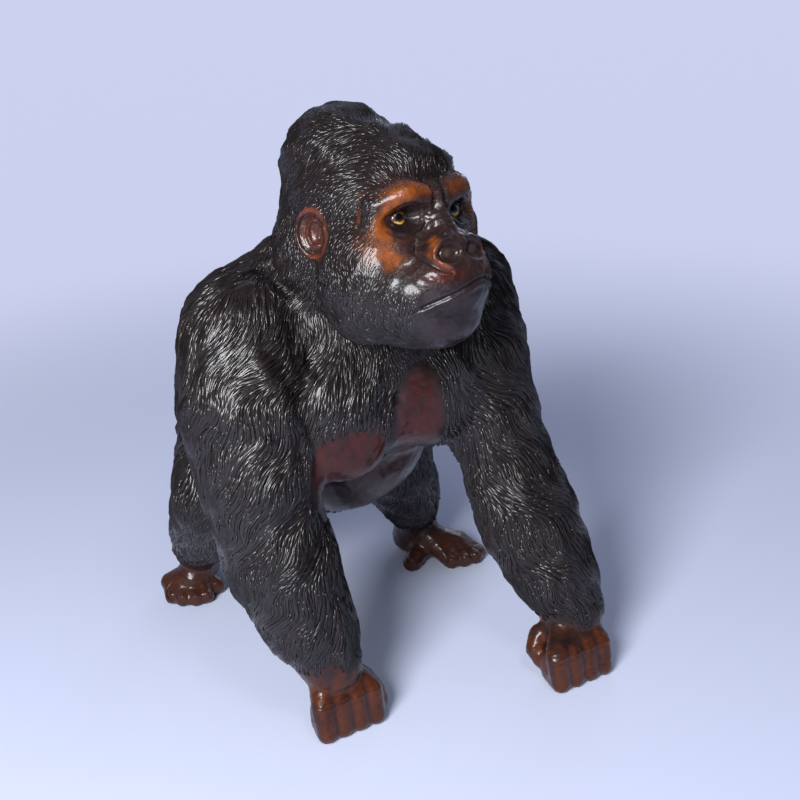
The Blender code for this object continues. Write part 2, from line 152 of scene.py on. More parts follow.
def face_depth(points):
    at = in_head(points)
    heights, widths = zip(*FACE_OUTLINE)
    depth = np.interp(at[:, 2], heights, widths, left=-30, right=-30) - np.abs(at[:, 0])
    top = np.where(at[:, 2] > 0, FACE_TOP - at[:, 2], at[:, 2] - FACE_BOTTOM)
    return np.minimum(np.minimum(depth, top), (FACE_BACK - at[:, 1]) * 0.8)


def ear_depth(points):
    at = in_head(points)
    at[:, 0] = np.abs(at[:, 0])
    return inside_egg(at, EAR + (4, 0, 0), np.array((13.0, 19.0, 24.0))) + 1


def chest_depth(points):
    return in_eggs(points, CHEST_EGGS)


def hand_depth(points):
    line = np.where(points[:, 0] < 0, RIGHT_WRIST_LINE, LEFT_WRIST_LINE)
    line = line + 7 * waves(points, 34, 5)
    return np.where(points[:, 1] < -60, line - points[:, 2], -60)


def foot_depth(points):
    line = ANKLE_LINE + 6 * waves(points, 30, 6)
    return np.where(points[:, 1] > 20, line - points[:, 2], -60)


def bare_depth(points):
    zones = (face_depth, ear_depth, chest_depth, hand_depth, foot_depth)
    return np.max([zone(points) for zone in zones], axis=0)


def step_up(values, low, high):
    """0 below low, 1 above high, and a smooth ramp between."""
    share = np.clip((values - low) / (high - low), 0, 1)
    return share * share * (3 - 2 * share)


# %% [markdown]
# ## The skin
# The solid in the frame keeps its faces few. Its skin is grown again at a finer grain with a voxel
# remesh, which makes one closed surface out of the solid and of small masses that are joined to it: the
# nails, the floors of the nostrils, and eyelids drawn closer round the glass. A few rounds of smoothing
# take out the solid's flat facets. The remesh is used because every later cut needs small and even
# faces, wherever the tool goes.

# %% Grow a fine skin over the solid
SKIN_GRAIN = 1.35
SKIN_SOFTENING = 7
TOE_TIPS = (  # place of each toe's end on the ground, and the toe's radius
    (141.3, 49.3, 9.0), (155.3, 43.3, 9.0), (168.3, 42.3, 9.0), (177.3, 47.3, 9.0), (103.3, 71.3, 10.5),
    (-141.7, 171.3, 9.0), (-134.7, 159.3, 9.0), (-122.7, 151.3, 9.0), (-111.7, 149.3, 9.0),
    (-94.7, 161.3, 10.5),
)
NAIL_RADII = (5.2, 5.6, 3.2)
NAIL_BACK, NAIL_RISE = 0.25, 1.42  # in toe radii, from the toe's end
NOSTRIL = (12.5, -24.0)
NOSTRIL_FLOOR, BEAD_RADII = -103.0, (8.6, 7.6, 6.0)
GLASS_PLACE, GLASS_RADIUS = Vector((29.8, -66.4, 8.0)), 10.8  # the solid's own balls have 9.5
LID_RADII, SOCKET_RADII = (15.4, 13.4, 14.0), (18.5, 9.0, 12.0)


def add_egg(shape, centre, radii, frame_of=Matrix(), turn=0.0):
    place = frame_of @ Matrix.Translation(centre) @ Matrix.Rotation(math.radians(turn), 4, "Z")
    bmesh.ops.create_uvsphere(
        shape, u_segments=32, v_segments=18, radius=1.0, matrix=place @ Matrix.Diagonal((*radii, 1.0))
    )


def object_of(name, mesh):
    made = bpy.data.objects.new(name, mesh)
    bpy.context.scene.collection.objects.link(made)
    return made


def baked(block):
    """The mesh that an object's modifiers make. The object itself goes."""
    bpy.context.view_layer.update()
    graph = bpy.context.evaluated_depsgraph_get()
    mesh = bpy.data.meshes.new_from_object(block.evaluated_get(graph))
    bpy.data.objects.remove(block, do_unlink=True)
    return mesh


def points_of(mesh):
    points = np.empty(len(mesh.vertices) * 3)
    mesh.vertices.foreach_get("co", points)
    return points.reshape(-1, 3) / MM


def normals_of(mesh):
    normals = np.empty(len(mesh.vertices) * 3)
    mesh.vertices.foreach_get("normal", normals)
    return normals.reshape(-1, 3)


def put_points(mesh, points):
    mesh.vertices.foreach_set("co", (points * MM).ravel())
    mesh.update()


extra = bmesh.new()
for x, y, radius in TOE_TIPS:
    add_egg(extra, (x, y - NAIL_BACK * radius, NAIL_RISE * radius), NAIL_RADII)
for side in (-1, 1):
    add_egg(extra, (side * NOSTRIL[0], NOSTRIL_FLOOR, NOSTRIL[1]), BEAD_RADII, HEAD)
    eye = (side * GLASS_PLACE.x, GLASS_PLACE.y, GLASS_PLACE.z)
    add_egg(extra, eye, LID_RADII, HEAD)
    add_egg(extra, eye, SOCKET_RADII, HEAD)
bmesh.ops.scale(extra, vec=(MM, MM, MM), verts=extra.verts)
extra.from_mesh(carving.data)
joined = bpy.data.meshes.new("solid and nails")
extra.to_mesh(joined)
extra.free()
block = object_of("skin block", joined)
regrown = block.modifiers.new("finer grain", "REMESH")
regrown.mode = "VOXEL"
regrown.voxel_size = SKIN_GRAIN * MM
softened = block.modifiers.new("softened", "SMOOTH")
softened.factor = 0.5
softened.iterations = SKIN_SOFTENING
skin = baked(block)
print("the fine skin has", len(skin.polygons), "faces")

# %% [markdown]
# ## Tooling the face, the ears and the hands
# A gouge leaves a groove with a round bottom, and pushing wood away from two sides leaves a ridge. Both
# are made here by one tool: the points of the skin near a line are moved along their own normals, by an
# amount that dies away with the distance from the line. The lines are drawn in the head's front view and
# laid on the skin by casting rays, so that they follow whatever form the head has.

# %% Make the gouge
skin_points = points_of(skin)
skin_normals = normals_of(skin)


def tree_of(points, faces):
    return BVHTree.FromPolygons(points.tolist(), faces)


skin_faces = [tuple(face.vertices) for face in skin.polygons]
fine_tree = tree_of(skin_points, skin_faces)
head_back = (head_axes @ Vector((0, 1, 0))).normalized()


def cast(starts, way):
    """Where rays from those places meet the fine skin. Rays that miss it are left out."""
    found = [fine_tree.ray_cast(start, way)[0] for start in starts]
    return np.array([hit for hit in found if hit is not None])


def laid(places):
    """Points (x, z) of the head's front view, laid on the skin."""
    return cast([HEAD @ Vector((x, -200, z)) for x, z in places], head_back)


GOUGE_REACH = 2.6  # in widths: farther from its line the gouge moves nothing


def gouge(line, width, depth):
    """Cuts a groove of that depth along the line, or raises a ridge where the depth is below zero."""
    reach = GOUGE_REACH * width
    low, high = line.min(0) - reach, line.max(0) + reach
    near = np.flatnonzero(((skin_points > low) & (skin_points < high)).all(1))
    points = skin_points[near]
    closest = np.full(len(near), 1e9)
    for start, end in zip(line, line[1:]):
        along = end - start
        share = np.clip((points - start) @ along / max(along @ along, 1e-9), 0, 1)
        gap = np.linalg.norm(points - start - share[:, None] * along, axis=1)
        closest = np.minimum(closest, gap)
    push = depth * np.exp(-((closest / width) ** 2))
    skin_points[near] -= push[:, None] * skin_normals[near]


def arc(centre, radii, start, end, steps=14):
    """Points of an ellipse in the front view, angles in degrees from +x, anticlockwise."""
    angles = np.radians(np.linspace(start, end, steps))
    return [(centre[0] + radii[0] * math.cos(a), centre[1] + radii[1] * math.sin(a)) for a in angles]


def both_sides(places):
    return (places, [(-x, z) for x, z in places])


# %% [markdown]
# ### The forehead and the eyelids
# First the broad shapes are trued: one wide stroke takes the forehead's far corner down, another eases
# the front of the crest, and the hollow between them is filled. Then each eyelid is opened. The
# points of the lid inside an almond are pushed back behind the glass, and those round it are drawn in to
# a thin edge that lies on the glass.

# %% True the forehead and open the eyelids
BROAD_STROKES = (  # ends of the line in the head's frame, width, depth (filled where below zero)
    ((8, -62, 76), (30, -58, 68), 15.0, 6.5),
    ((-6, -20, 101), (14, -20, 98), 15.0, 4.0),
    ((-14, -34, 82), (18, -38, 78), 10.0, -4.5),
)
for first, last, width, depth in BROAD_STROKES:
    gouge(np.array([HEAD @ Vector(first), HEAD @ Vector(last)]), width, depth)
ALMOND_WIDE, ALMOND_HIGH, ALMOND_BEND, ALMOND_TILT = 10.6, 6.4, 1.5, 0.06
LID_EDGE, LID_SLOPE = 0.8, 2.6  # the lid's height over the glass at the almond, and how fast it grows
LID_REACH, EASED_TO, BEHIND_GLASS = 21.0, 2.4, 1.4
for side in (-1, 1):
    centre = (side * GLASS_PLACE.x, GLASS_PLACE.y, GLASS_PLACE.z)
    at = in_head(skin_points) - centre
    reach = np.linalg.norm(at, axis=1)
    tilted = at[:, 2] + ALMOND_TILT * side * at[:, 0]
    wide = np.abs(at[:, 0]) / ALMOND_WIDE
    high = np.abs(tilted) / ALMOND_HIGH
    almond = wide**ALMOND_BEND + high**ALMOND_BEND
    here = (at[:, 1] < 0) & (reach < LID_REACH)
    limit = GLASS_RADIUS + LID_EDGE + LID_SLOPE * (almond - 1)
    opened = here & (almond < 1)
    eased = here & (almond >= 1) & (almond < EASED_TO) & (reach > limit)
    at[eased] *= (limit[eased] / reach[eased])[:, None]
    at[opened] *= ((GLASS_RADIUS - BEHIND_GLASS) / reach[opened])[:, None]
    moved = opened | eased
    skin_points[moved] = (at[moved] + centre) @ AXES.T + MIDDLE
    print("opened an eyelid over", int(opened.sum()), "points")

# %% [markdown]
# ### The folds of the lids and the brow
# The lids are two rims round the glass, with a fold above and two bags below. Between the brows stand two
# frown lines, and short wrinkles cross the root of the nose. Each is one line for the gouge, and the
# other side of the face is its mirror.

# %% Cut the lids and the frown
EYE = (GLASS_PLACE.x, GLASS_PLACE.z)
FACE_CUTS = [  # line in the front view, width, depth (a ridge where below zero)
    (arc(EYE, (11.8, 7.8), 5, 175), 1.0, -0.6),
    (arc(EYE, (11.6, 7.6), 185, 355), 1.0, -0.7),
    (arc(EYE, (14.2, 10.4), 12, 168), 1.1, 1.2),
    (arc(EYE, (14.0, 10.2), 198, 338), 1.0, 1.2),
    (arc(EYE, (16.2, 13.0), 205, 330), 1.1, -0.7),
    (arc(EYE, (18.2, 15.6), 212, 322), 1.1, 1.1),
    (arc(EYE, (22.5, 21.0), 222, 300), 1.4, 0.7),
    ([(7, 12), (6, 20), (6, 29), (9, 36)], 2.3, 2.2),
    ([(0, 13), (0, 24), (0, 33)], 2.0, -1.2),
    ([(0, 9), (6, 10.5), (12, 9)], 1.0, 0.7),
    ([(0, 4), (6, 5.5), (12, 3)], 1.0, 0.7),
    ([(0, -1), (6, 0), (11, -3)], 1.0, 0.6),
    ([(14, 4), (17, -4), (22, -11), (29, -14)], 1.5, 0.9),
]
for places, width, depth in FACE_CUTS:
    for side in both_sides(places):
        gouge(laid(side), width, depth)
print("cut", 2 * len(FACE_CUTS), "lines round the eyes")

# %% [markdown]
# ### The nose and the mouth
# The nose is two thick rings, one round each nostril, parted by a groove. The mouth is one sharp line
# with a thin lip on each side of it, and it runs on past the corners of the solid's mouth. A soft fold
# runs from each nostril to the corner of the mouth.

# %% Cut the nose and the mouth
MOUTH_WIDTH, MOUTH_HEIGHT, MOUTH_DROP, MOUTH_PEAK, MOUTH_BEND = 72.0, -47.0, 12.5, 13.0, 1.3
MOUTH_CUTS = (  # height over the mouth's own line, share of its width, width, depth
    (0.0, 1.22, 1.0, 1.5),
    (3.2, 0.93, 1.6, -0.5),
    (-3.6, 0.93, 1.9, -0.7),
    (-8.5, 0.8, 2.2, 0.5),
)


def mouth_line(rise, reach):
    places = []
    for share in np.linspace(-reach, reach, 29):
        fall = MOUTH_DROP * abs(share - 2 * MOUTH_PEAK / MOUTH_WIDTH) ** MOUTH_BEND
        places.append((share * MOUTH_WIDTH / 2, MOUTH_HEIGHT - fall + rise))
    return places


for rise, reach, width, depth in MOUTH_CUTS:
    gouge(laid(mouth_line(rise, reach)), width, depth)
NOSE_CUTS = [
    (arc(NOSTRIL, (12.4, 10.4), -80, 110, 24), 1.9, -1.9),
    (arc(NOSTRIL, (17.2, 15.0), -75, 100, 20), 1.6, 1.7),
    (arc(NOSTRIL, (9.2, 6.6), 0, 360, 28), 1.1, 1.8),
    ([(2.5, -11), (8, -12.5), (14, -13), (21, -16)], 1.5, -1.2),
    ([(31, -22), (36, -34), (41, -48), (43, -60)], 3.8, 0.3),
    ([(9, -38), (12, -44)], 1.6, 0.4),
]
for places, width, depth in NOSE_CUTS:
    for side in both_sides(places):
        gouge(laid(side), width, depth)
gouge(laid([(0, -6), (0, -14), (0, -24), (0, -36), (0, -44)]), 1.6, 1.2)
print("cut the nose and the mouth")

# %% [markdown]
# ### The ears
# An ape's ear has a rolled rim, a second ridge inside it and a small bead in front of its hole. The lines
# are drawn on the ear's own flat side and cast on it from outside.

# %% Cut the ears
EAR_TURN = 32.0
EAR_CUTS = (  # line on the ear's flat side, width, depth
    (arc((0, 0), (15.2, 20.0), -150, 130, 26), 1.7, -1.6),
    (arc((1, 0), (11.6, 16.0), -120, 110, 22), 1.5, 1.6),
    (arc((-1, 0), (7.0, 11.0), -110, 110, 18), 1.6, -2.4),
    ([(-5, 3), (-4, -1), (-3, -4)], 2.2, 2.6),
    ([(-11, 4), (-10, -2)], 2.0, -2.0),
)


def laid_on_ear(side, places):
    ear = HEAD @ Matrix.Translation((side * (EAR[0] - 2), EAR[1], EAR[2]))
    ear = ear @ Matrix.Rotation(math.radians(-EAR_TURN * side), 4, "Z")
    inward = (ear.to_3x3() @ Vector((-side, 0, 0))).normalized()
    return cast([ear @ Vector((side * 40, y, z)) for y, z in places], inward)


for side in (-1, 1):
    for places, width, depth in EAR_CUTS:
        gouge(laid_on_ear(side, places), width, depth)
print("cut the ears")

# %% [markdown]
# ### Creases of the fingers and toes
# The bent fingers have two creases across each knuckle. The nails were joined on as flat eggs, and a
# groove round each one sets it off. The two muscles of the chest are swelled a little, and a deep groove
# parts them.

# %% Cut the chest, the knuckles and the nails
CHEST_STROKES = (  # line in the row frame's front view, width, depth
    (((-74, 246), (-48, 244)), 22.0, -4.0),
    (((8, 292), (8, 262)), 18.0, -3.0),
    (((-12, 304), (-17, 280), (-20, 255), (-22, 232)), 5.5, 5.5),
)
KNUCKLES = (  # the hand's middle in x, its knuckles' y, and the row's pitch
    (-99.2, -143.7, 17.0),
    (119.3, -206.7, 17.0),
)
CREASE_HEIGHTS = (38.0, 33.5, 15.0, 11.5)
CREASE_STEPS = (-6, -3, 0, 3, 6)
BACKWARD, DOWNWARD = Vector((0, 1, 0)), Vector((0, 0, -1))

for places, width, depth in CHEST_STROKES:
    gouge(cast([Vector((x, -400, z)) for x, z in places], BACKWARD), width, depth)
for hand_x, knuckle_y, pitch in KNUCKLES:
    for place in range(4):
        x = hand_x + (place - 1.5) * pitch
        for height in CREASE_HEIGHTS:
            row = cast([Vector((x + dx, knuckle_y - 60, height)) for dx in CREASE_STEPS], BACKWARD)
            if len(row) > 2:
                gouge(row, 0.9, 0.55)
for x, y, radius in TOE_TIPS:
    rim = arc((x, y - 0.3 * radius), (NAIL_RADII[0] + 0.4, NAIL_RADII[1]), -20, 200, 12)
    gouge(cast([Vector((u, v, 60)) for u, v in rim], DOWNWARD), 0.9, 0.7)
print("cut the knuckles and the nails")

# %% [markdown]
# ### Chisel facets on bare wood
# Bare wood isn't glass smooth: each pass of a flat gouge leaves a shallow facet. Slow waves of a fraction
# of a millimetre give that to the form itself, and the finest marks come later, in the finish. Last, the
# soles are pressed level again, because the carving stands on them.

# %% Leave chisel facets
SOLE_HEIGHT = 0.5
bare = bare_depth(skin_points)
facet = 0.2 * waves(skin_points, 9, 11) + 0.1 * waves(skin_points, 5, 12)
skin_points -= (facet * step_up(bare, 0, 6))[:, None] * skin_normals
skin_points[skin_points[:, 2] < SOLE_HEIGHT, 2] = 0.0
put_points(skin, skin_points)
print(round(100 * (bare > 0).mean()), "% of the skin is bare")

# %% [markdown]
# ### Fewer faces where the form is plain
# The face and the ears keep every face. The hands, the feet and the chest can do with a third of theirs,
# and the skin under the hair is hardly seen. A vertex group tells the Decimate modifier where it may
# work, so two passes thin the mesh from coarse needs to fine ones.

# %% Thin the skin away from the face
PLAIN_SHARE, HAIR_SHARE = 0.34, 0.065


def thinned(mesh, free, share):
    """Collapses faces among the free points only, until about that share of theirs is left."""
    block = object_of("skin block", mesh)
    group = block.vertex_groups.new(name="free to go")
    group.add(np.flatnonzero(free).tolist(), 1.0, "REPLACE")
    thin = block.modifiers.new("fewer faces", "DECIMATE")
    thin.ratio = 1 - free.mean() * (1 - share)
    thin.vertex_group = group.name
    return baked(block)


skin = thinned(skin, bare_depth(skin_points) < -3, HAIR_SHARE)
left = points_of(skin)
fine = np.maximum(face_depth(left), ear_depth(left)) > -3
plain = ~fine & (bare_depth(left) >= -3)
skin = thinned(skin, plain, PLAIN_SHARE)
skin_points = points_of(skin)
skin_normals = normals_of(skin)
skin.calc_loop_triangles()
corners = np.empty(len(skin.loop_triangles) * 3, np.int32)
skin.loop_triangles.foreach_get("vertices", corners)
corners = corners.reshape(-1, 3)
skin_tree = tree_of(skin_points, corners.tolist())
print("the skin has", len(corners), "triangles")

# %% [markdown]
# ## Combing
# Hair needs a direction at each point. A groomer sets guides and lets the rest follow them: each guide
# here is a place and a way, and a point takes the mean of the guides, weighed by nearness. A slow wave
# turns the mean a little from lock to lock, which gives the curls and partings of a hand cut coat.

# %% Set the comb guides
HEAD_GUIDES = (  # on the head's right side, in its own frame; mirrored on the left
    ((-2, -72, 44), (-0.05, 0.7, 0.7)),
    ((-24, -66, 44), (-0.35, 0.75, 0.55)),
    ((-42, -52, 36), (-0.6, 0.75, 0.1)),
    ((-3, -20, 98), (-0.1, 1.0, 0.1)),
    ((-3, 40, 108), (-0.1, 0.95, -0.3)),
    ((-36, 5, 80), (-0.45, 0.85, -0.25)),
    ((-55, -5, 52), (-0.3, 0.8, -0.5)),
    ((-58, 35, 30), (-0.1, 0.6, -0.8)),
    ((-58, -36, 14), (-0.2, 0.5, -0.85)),
    ((-66, -22, -8), (-0.1, 0.25, -0.97)),
    ((-66, -44, -34), (0.0, 0.15, -1.0)),
    ((-48, -76, -46), (-0.35, 0.5, -0.8)),
    ((-64, -34, -66), (0.1, -0.1, -1.0)),
    ((-52, -45, -92), (0.4, -0.35, -0.85)),
    ((-28, -60, -108), (0.6, -0.3, -0.3)),
    ((-62, 25, -20), (0.0, 0.35, -0.94)),
    ((-3, 96, 40), (0.0, 0.35, -0.94)),
    ((-30, 85, -20), (-0.1, 0.25, -0.97)),
)
BODY_GUIDES = (  # in the row frame
    ((-78, -20, 402), (-0.8, 0.1, -0.6)),
    ((72, -20, 402), (0.8, 0.0, -0.6)),
    ((-6, 60, 410), (0.0, 0.8, -0.6)),
    ((-50, 110, 370), (-0.35, 0.8, -0.5)),
    ((45, 110, 370), (0.35, 0.8, -0.5)),
    ((-6, 190, 320), (0.0, 0.75, -0.66)),
    ((-6, 225, 230), (0.0, 0.1, -1.0)),
    ((-95, 90, 290), (-0.1, 0.65, -0.75)),
    ((90, 90, 290), (0.1, 0.65, -0.75)),
    ((-85, 80, 210), (0.0, 0.5, -0.85)),
    ((80, 80, 210), (0.0, 0.5, -0.85)),
    ((-168, -30, 350), (-0.3, 0.1, -0.95)),
    ((-185, -50, 300), (-0.05, 0.1, -1.0)),
    ((-130, 20, 340), (-0.3, 0.4, -0.85)),
    ((-112, -95, 345), (-0.75, 0.2, -0.6)),
    ((-150, -105, 300), (-0.35, 0.2, -0.9)),
    ((-95, -105, 280), (-0.45, 0.2, -0.87)),
    ((-130, -125, 245), (-0.5, 0.3, -0.8)),
    ((-130, -130, 195), (-0.6, 0.35, -0.7)),
    ((-175, -80, 220), (-0.1, 0.3, -0.95)),
    ((-128, -142, 140), (-0.35, 0.2, -0.9)),
    ((-110, -150, 95), (-0.15, 0.05, -0.98)),
    ((-120, -50, 150), (0.0, 0.25, -0.97)),
    ((110, -110, 345), (0.6, -0.1, -0.75)),
    ((95, -125, 290), (0.65, -0.35, -0.65)),
    ((140, -90, 300), (0.4, 0.1, -0.9)),
    ((100, -150, 220), (0.62, -0.36, -0.7)),
    ((120, -185, 150), (0.6, -0.3, -0.72)),
    ((150, -130, 180), (0.1, 0.3, -0.95)),
    ((140, -210, 85), (0.35, -0.15, -0.9)),
    ((60, -80, 200), (0.2, 0.2, -0.95)),
    ((-45, -130, 320), (-0.25, 0.05, -0.96)),
    ((25, -130, 330), (0.1, 0.0, -1.0)),
    ((-10, -105, 372), (-0.1, -0.1, -1.0)),
    ((-10, -10, 150), (0.0, 0.9, -0.3)),
    ((-6, 110, 160), (0.0, 0.8, 0.3)),
    ((90, 60, 170), (0.2, 0.0, -0.98)),
    ((110, 80, 90), (0.1, 0.1, -1.0)),
    ((-105, 90, 170), (-0.2, 0.0, -0.98)),
    ((-115, 130, 100), (-0.1, 0.3, -0.95)),
)


def comb_guides():
    places, ways = [], []
    for place, way in HEAD_GUIDES:
        for side in (1, -1):
            places.append(HEAD @ Vector((place[0] * side, place[1], place[2])))
            ways.append(head_axes @ Vector((way[0] * side, way[1], way[2])).normalized())
    for place, way in BODY_GUIDES:
        places.append(Vector(place))
        ways.append(Vector(way).normalized())
    return np.array(places), np.array(ways)


GUIDE_PLACES, GUIDE_WAYS = comb_guides()
GUIDE_CORE = 16.0
SLOW_TURN, QUICK_TURN = 26.0, 7.0


def unit(ways):
    return ways / np.maximum(np.linalg.norm(ways, axis=1), 1e-9)[:, None]


def combed(points, normals):
    """The way that hair lies at each point, flat on the skin."""
    gaps = ((points[:, None, :] - GUIDE_PLACES[None]) ** 2).sum(2)
    weights = 1 / (gaps + GUIDE_CORE**2) ** 2
    way = (weights[:, :, None] * GUIDE_WAYS[None]).sum(1)
    way = unit(way - (way * normals).sum(1)[:, None] * normals)
    turn = np.radians(SLOW_TURN * waves(points, 46, 21) + QUICK_TURN * waves(points, 17, 22))
    across = np.cross(normals, way)
    return way * np.cos(turn)[:, None] + across * np.sin(turn)[:, None]


print(len(GUIDE_PLACES), "comb guides")

# %% [markdown]
# ## Cutting the locks
# Every lock is one stroke of a small gouge on each side of it: a ridge that starts in the wood, swells
# and runs out to a point. It is built as a thin closed spindle, three sided, that follows the comb over
# the skin and is sunk in it, because thousands of such spindles catch the light as cut hair does, where
# a bump in the finish alone would leave the outline smooth.

# %% Scatter the roots of the locks
random = np.random.default_rng(7)
STATIONS = np.array((0.0, 0.2, 0.45, 0.68, 0.87, 1.0))
SWELL = np.array((0.0, 0.8, 1.0, 0.92, 0.62, 0.0))
RISE = np.array((-0.4, 0.72, 1.0, 1.02, 0.86, 0.1))
LAST = len(STATIONS) - 1
LOCK_POINTS = 14  # one at each end, and three at each station between
SUNK = 0.9
SHORTEST, BARE_FADE = 0.4, 24.0  # locks shorten within that many millimetres of bare wood


def roots(count, spacing, zone):
    """Places on the skin where the zone function is above zero, none nearer another than the spacing."""
    at = skin_points[corners]
    area = np.linalg.norm(np.cross(at[:, 1] - at[:, 0], at[:, 2] - at[:, 0]), axis=1)
    area = area * (zone(at.mean(1)) > 0)
    picked = random.choice(len(corners), size=4 * count, p=area / area.sum())
    u, v = random.random(4 * count), random.random(4 * count)
    flip = u + v > 1
    u[flip], v[flip] = 1 - u[flip], 1 - v[flip]
    at = at[picked]
    places = at[:, 0] + u[:, None] * (at[:, 1] - at[:, 0]) + v[:, None] * (at[:, 2] - at[:, 0])
    places = places[zone(places) > 0]
    taken, cells = [], {}
    around = [(i, j, k) for i in (-1, 0, 1) for j in (-1, 0, 1) for k in (-1, 0, 1)]
    keys = np.floor(places / spacing).astype(int).tolist()
    for index, ((a, b, c), place) in enumerate(zip(keys, places.tolist())):
        clear = True
        for i, j, k in around:
            for x, y, z in cells.get((a + i, b + j, c + k), ()):
                if (x - place[0]) ** 2 + (y - place[1]) ** 2 + (z - place[2]) ** 2 < spacing**2:
                    clear = False
        if clear:
            cells.setdefault((a, b, c), []).append(place)
            taken.append(index)
        if len(taken) == count:
            break
    return places[taken]


def on_skin(points):
    """The nearest places on the skin, with its normals there."""
    found = [skin_tree.find_nearest(point) for point in points.tolist()]
    return np.array([hit[0] for hit in found]), np.array([hit[1] for hit in found])


def locks(places, length, width, height):
    """Spindles along the comb from each place: their points, and their faces."""
    count = len(places)
    point, normal = on_skin(places)
    shortened = np.clip(SHORTEST - (1 - SHORTEST) * bare_depth(places) / BARE_FADE, SHORTEST, 1)
    long = length * shortened * random.uniform(0.75, 1.3, count)
    wide = width * random.uniform(0.75, 1.25, count)
    tall = height * (0.4 + 0.6 * shortened) * random.uniform(0.6, 1.35, count)
    skew = random.uniform(-0.25, 0.25, count)
    rings = []
    for k, station in enumerate(STATIONS):
        way = combed(point, normal)
        across = np.cross(normal, way)
        half = (0.5 * wide * SWELL[k])[:, None] * across
        top = point + (tall * RISE[k])[:, None] * normal + (wide * skew * SWELL[k])[:, None] * across
        low = point - SUNK * normal
        rings.append((top,) if k in (0, LAST) else (low - half, top, low + half))
        if k < LAST:
            step = (long * (STATIONS[k + 1] - station))[:, None]
            point, normal = on_skin(point + way * step)
    columns = [column for ring in rings for column in ring]
    points = np.stack(columns, axis=1).reshape(-1, 3)
    faces = []
    for ring in range(3):
        a = 1 + 3 * ring
        for i in range(3):
            j = (i + 1) % 3
            faces.append((a + i, a + j, a + 3 + j, a + 3 + i))
    for i in range(3):
        j = (i + 1) % 3
        faces.append((0, 1 + j, 1 + i))
        faces.append((LOCK_POINTS - 1, LOCK_POINTS - 4 + i, LOCK_POINTS - 4 + j))
    first = np.arange(count) * LOCK_POINTS
    quads = np.array([face for face in faces if len(face) == 4])
    ends = np.array([face for face in faces if len(face) == 3])
    quads = (first[:, None, None] + quads[None]).reshape(-1, 4)
    ends = (first[:, None, None] + ends[None]).reshape(-1, 3)
    return points, quads.tolist() + ends.tolist()


# %% [markdown]
# ## Staining
# The wood is stained almost black, and the carver has rubbed the stain back to orange on the brow and
# the cheeks, to red brown on the chest, and to amber on the hands. On the face the rubbed place is one
# band like a C, which passes from the brow round the eye to the cheek. Those colours belong to places,
# so they are painted here on the points as a colour attribute, and the finish reads it. Painted shade
# is mixed in too: the eye sockets and the crease of each ear are darkened, and the rubbed colours are
# weaker on the far side of the face.

# %% Mix the stains and the painted shade
BLACK_BROWN = np.array((0.0125, 0.0085, 0.0082))
STAINS_AND_PAINTED_SHADE = {
    "skin": (0.024, 0.0125, 0.0115),
    # painted shade, laid in the eye sockets and in the crease of each ear
    "pooled_stain_and_painted_shade": (0.009, 0.0062, 0.006),
    "rubbed orange": (0.205, 0.050, 0.0070),
    "warm brown": (0.052, 0.017, 0.009),
    "nostril": (0.060, 0.036, 0.027),
    "red brown": (0.050, 0.0085, 0.005),
    "inner ear": (0.060, 0.019, 0.013),
    "lip": (0.019, 0.0125, 0.0145),
    "ear": (0.15, 0.037, 0.015),
    "amber": (0.080, 0.020, 0.0062),
    "foot": (0.052, 0.018, 0.011),
}
PATCH = (  # the rubbed band: from the inner brow over its roll, round the eye and over the cheek
    (-14, 27, 5.5), (-27, 30, 7.5), (-39, 25, 7.0), (-47, 12, 5.5), (-50, -2, 7.0), (-52, -16, 9.0),
    (-45, -25, 7.5),
)
WING = ((-17, -10, 0.8), (-23, -14, 1.2), (-25.8, -23, 1.5), (-23.5, -31, 1.4), (-18, -35, 0.8))


def blend_in(colours, name, share):
    share = np.clip(share, 0, 1)[:, None]
    return colours * (1 - share) + np.array(STAINS_AND_PAINTED_SHADE[name]) * share


def band_depth(x, z, line):
    """Depth inside a band of the front view, drawn as places with a half width each."""
    depth = np.full(len(x), -1e9)
    for (x0, z0, r0), (x1, z1, r1) in zip(line, line[1:]):
        share = ((x - x0) * (x1 - x0) + (z - z0) * (z1 - z0)) / ((x1 - x0) ** 2 + (z1 - z0) ** 2)
        share = np.clip(share, 0, 1)
        gap = np.hypot(x - x0 - share * (x1 - x0), z - z0 - share * (z1 - z0))
        depth = np.maximum(depth, r0 + share * (r1 - r0) - gap)
    return depth


